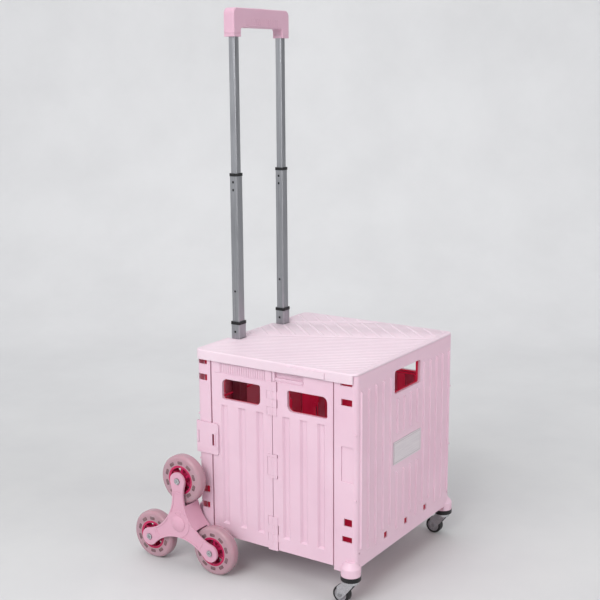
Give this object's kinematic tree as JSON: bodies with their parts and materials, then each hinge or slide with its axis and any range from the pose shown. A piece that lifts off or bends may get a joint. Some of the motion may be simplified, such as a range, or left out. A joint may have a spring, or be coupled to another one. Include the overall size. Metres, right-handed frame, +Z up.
{
  "type": "stair climbing trolley",
  "caption": "Folding crate trolley with a telescopic handle, a lift-off lid, three-wheel stair climbing stars at the back and swivel casters in front.",
  "frame": {"origin": "on the ground, under the middle of the trolley's bounding box", "axes": "+Z up, -Y out of the front panel above the casters, +Y towards the handle and the stars, +X to the trolley's right as seen from the front"},
  "size_m": [0.5188, 0.5296, 1.1308],
  "materials": {
    "side_plastic": "satin pink moulded plastic",
    "lid_plastic": "satin pale pink moulded plastic, fine grain",
    "grip_plastic": "satin pink moulded plastic",
    "star_plastic": "satin rose pink moulded plastic",
    "tube_aluminium": "satin anodised",
    "black_plastic": "matte black",
    "steel": "plain zinc plated",
    "bright_steel": "bright plated",
    "nameplate_plastic": "satin grey",
    "star_core_plastic": "glossy deep pink",
    "star_tyre_rubber": "soft translucent pink",
    "caster_rubber": "black tread",
    "caster_core_plastic": "pale grey"
  },
  "bodies": {
    "rear": {"rear_panel": "side_plastic", "tube_saddles": "side_plastic", "axle_brackets": "side_plastic", "left_outer_tube": "tube_aluminium", "right_outer_tube": "tube_aluminium", "outer_tube_collars": "black_plastic", "rear_pins": "steel", "star_axle": "steel"},
    "front": {"front_panel": "side_plastic", "nameplate": "nameplate_plastic", "caster_collars": "black_plastic", "caster_stems": "steel", "front_pins": "steel"},
    "base": {"base_plate": "side_plastic"},
    "lid": {"lid": "lid_plastic"},
    "handle_middle": {"left_middle_tube": "tube_aluminium", "right_middle_tube": "tube_aluminium", "middle_tube_collars": "black_plastic"},
    "handle_top": {"left_inner_tube": "tube_aluminium", "right_inner_tube": "tube_aluminium", "grip": "grip_plastic", "button_spring": "steel"},
    "button": {"release_button": "grip_plastic", "release_rods": "steel"},
    "left_rear_leaf": {"left_rear_leaf": "side_plastic", "left_leaf_pins": "steel"},
    "left_front_leaf": {"left_front_leaf": "side_plastic"},
    "left_latch": {"left_latch": "side_plastic"},
    "left_star": {"left_star_body": "star_plastic", "left_star_cover": "star_plastic", "left_hub_cap": "star_plastic", "left_wheel_bolts": "bright_steel"},
    "left_star_wheel_1": {"left_star_core_1": "star_core_plastic", "left_star_tyre_1": "star_tyre_rubber"},
    "left_star_wheel_2": {"left_star_core_2": "star_core_plastic", "left_star_tyre_2": "star_tyre_rubber"},
    "left_star_wheel_3": {"left_star_core_3": "star_core_plastic", "left_star_tyre_3": "star_tyre_rubber"},
    "left_caster": {"left_caster_fork": "bright_steel", "left_caster_axle": "steel"},
    "left_caster_wheel": {"left_caster_core": "caster_core_plastic", "left_caster_tyre": "caster_rubber"},
    "right_rear_leaf": {"right_rear_leaf": "side_plastic", "right_leaf_pins": "steel"},
    "right_front_leaf": {"right_front_leaf": "side_plastic"},
    "right_latch": {"right_latch": "side_plastic"},
    "right_star": {"right_star_body": "star_plastic", "right_star_cover": "star_plastic", "right_hub_cap": "star_plastic", "right_wheel_bolts": "bright_steel"},
    "right_star_wheel_1": {"right_star_core_1": "star_core_plastic", "right_star_tyre_1": "star_tyre_rubber"},
    "right_star_wheel_2": {"right_star_core_2": "star_core_plastic", "right_star_tyre_2": "star_tyre_rubber"},
    "right_star_wheel_3": {"right_star_core_3": "star_core_plastic", "right_star_tyre_3": "star_tyre_rubber"},
    "right_caster": {"right_caster_fork": "bright_steel", "right_caster_axle": "steel"},
    "right_caster_wheel": {"right_caster_core": "caster_core_plastic", "right_caster_tyre": "caster_rubber"}
  },
  "joints": [
    {"name": "wall_fold", "type": "hinge", "parent": "rear", "child": "left_rear_leaf", "pos_m": [-0.186, 0.07816, 0.26], "axis": [0, 0, 1], "range_deg": [0, 84]},
    {"name": "left_middle_fold", "type": "hinge", "parent": "left_rear_leaf", "child": "left_front_leaf", "pos_m": [-0.2, -0.06714, 0.26], "axis": [0, 0, -1], "range_deg": [0, 168]},
    {"name": "front_fold", "type": "hinge", "parent": "left_front_leaf", "child": "front", "pos_m": [-0.186, -0.21244, 0.26], "axis": [0, 0, 1], "range_deg": [0, 84]},
    {"name": "right_fold", "type": "hinge", "parent": "rear", "child": "right_rear_leaf", "pos_m": [0.186, 0.07816, 0.26], "axis": [0, 0, -1], "range_deg": [0, 84]},
    {"name": "right_middle_fold", "type": "hinge", "parent": "right_rear_leaf", "child": "right_front_leaf", "pos_m": [0.2, -0.06714, 0.26], "axis": [0, 0, 1], "range_deg": [0, 168]},
    {"name": "base_lift", "type": "hinge", "parent": "front", "child": "base", "pos_m": [0, -0.22784, 0.064], "axis": [1, 0, 0], "range_deg": [0, 90]},
    {"name": "lid_lift", "type": "slide", "parent": "rear", "child": "lid", "axis": [0, 0, 1], "range_m": [0, 0.5]},
    {"name": "left_latch_turn", "type": "hinge", "parent": "rear", "child": "left_latch", "pos_m": [-0.2, 0.11816, 0.27575], "axis": [0, 0, -1], "range_deg": [0, 110]},
    {"name": "right_latch_turn", "type": "hinge", "parent": "rear", "child": "right_latch", "pos_m": [0.2, 0.11816, 0.27575], "axis": [0, 0, 1], "range_deg": [0, 110]},
    {"name": "handle_lower", "type": "slide", "parent": "rear", "child": "handle_middle", "axis": [0, 0, 1], "range_m": [-0.3, 0]},
    {"name": "handle_upper", "type": "slide", "parent": "handle_middle", "child": "handle_top", "axis": [0, 0, 1], "range_m": [-0.265, 0]},
    {"name": "button_press", "type": "slide", "parent": "handle_top", "child": "button", "axis": [0, 0, 1], "range_m": [-0.004, 0], "stiffness_N_per_m": 700, "springref_m": 0.002, "deforming": ["button_spring"]},
    {"name": "left_star_spin", "type": "hinge", "parent": "rear", "child": "left_star", "pos_m": [-0.231, 0.13416, 0.097], "axis": [1, 0, 0], "continuous": true},
    {"name": "left_wheel_1_spin", "type": "hinge", "parent": "left_star", "child": "left_star_wheel_1", "pos_m": [-0.231, 0.13416, 0.189], "axis": [1, 0, 0], "continuous": true},
    {"name": "left_wheel_2_spin", "type": "hinge", "parent": "left_star", "child": "left_star_wheel_2", "pos_m": [-0.231, 0.21384, 0.051], "axis": [1, 0, 0], "continuous": true},
    {"name": "left_wheel_3_spin", "type": "hinge", "parent": "left_star", "child": "left_star_wheel_3", "pos_m": [-0.231, 0.05449, 0.051], "axis": [1, 0, 0], "continuous": true},
    {"name": "left_caster_swivel", "type": "hinge", "parent": "front", "child": "left_caster", "pos_m": [-0.197, -0.24484, 0.047], "axis": [0, 0, 1], "continuous": true},
    {"name": "left_caster_spin", "type": "hinge", "parent": "left_caster", "child": "left_caster_wheel", "pos_m": [-0.197, -0.22584, 0.0175], "axis": [1, 0, 0], "continuous": true},
    {"name": "right_star_spin", "type": "hinge", "parent": "rear", "child": "right_star", "pos_m": [0.231, 0.13416, 0.097], "axis": [1, 0, 0], "continuous": true},
    {"name": "right_wheel_1_spin", "type": "hinge", "parent": "right_star", "child": "right_star_wheel_1", "pos_m": [0.231, 0.13416, 0.189], "axis": [1, 0, 0], "continuous": true},
    {"name": "right_wheel_2_spin", "type": "hinge", "parent": "right_star", "child": "right_star_wheel_2", "pos_m": [0.231, 0.21384, 0.051], "axis": [1, 0, 0], "continuous": true},
    {"name": "right_wheel_3_spin", "type": "hinge", "parent": "right_star", "child": "right_star_wheel_3", "pos_m": [0.231, 0.05449, 0.051], "axis": [1, 0, 0], "continuous": true},
    {"name": "right_caster_swivel", "type": "hinge", "parent": "front", "child": "right_caster", "pos_m": [0.197, -0.24484, 0.047], "axis": [0, 0, 1], "continuous": true},
    {"name": "right_caster_spin", "type": "hinge", "parent": "right_caster", "child": "right_caster_wheel", "pos_m": [0.197, -0.22584, 0.0175], "axis": [1, 0, 0], "continuous": true}
  ],
  "couplings": [
    {"joint": "left_middle_fold", "follows": "wall_fold", "ratio": 2},
    {"joint": "front_fold", "follows": "wall_fold", "ratio": 1},
    {"joint": "right_fold", "follows": "wall_fold", "ratio": 1},
    {"joint": "right_middle_fold", "follows": "wall_fold", "ratio": 2}
  ]
}
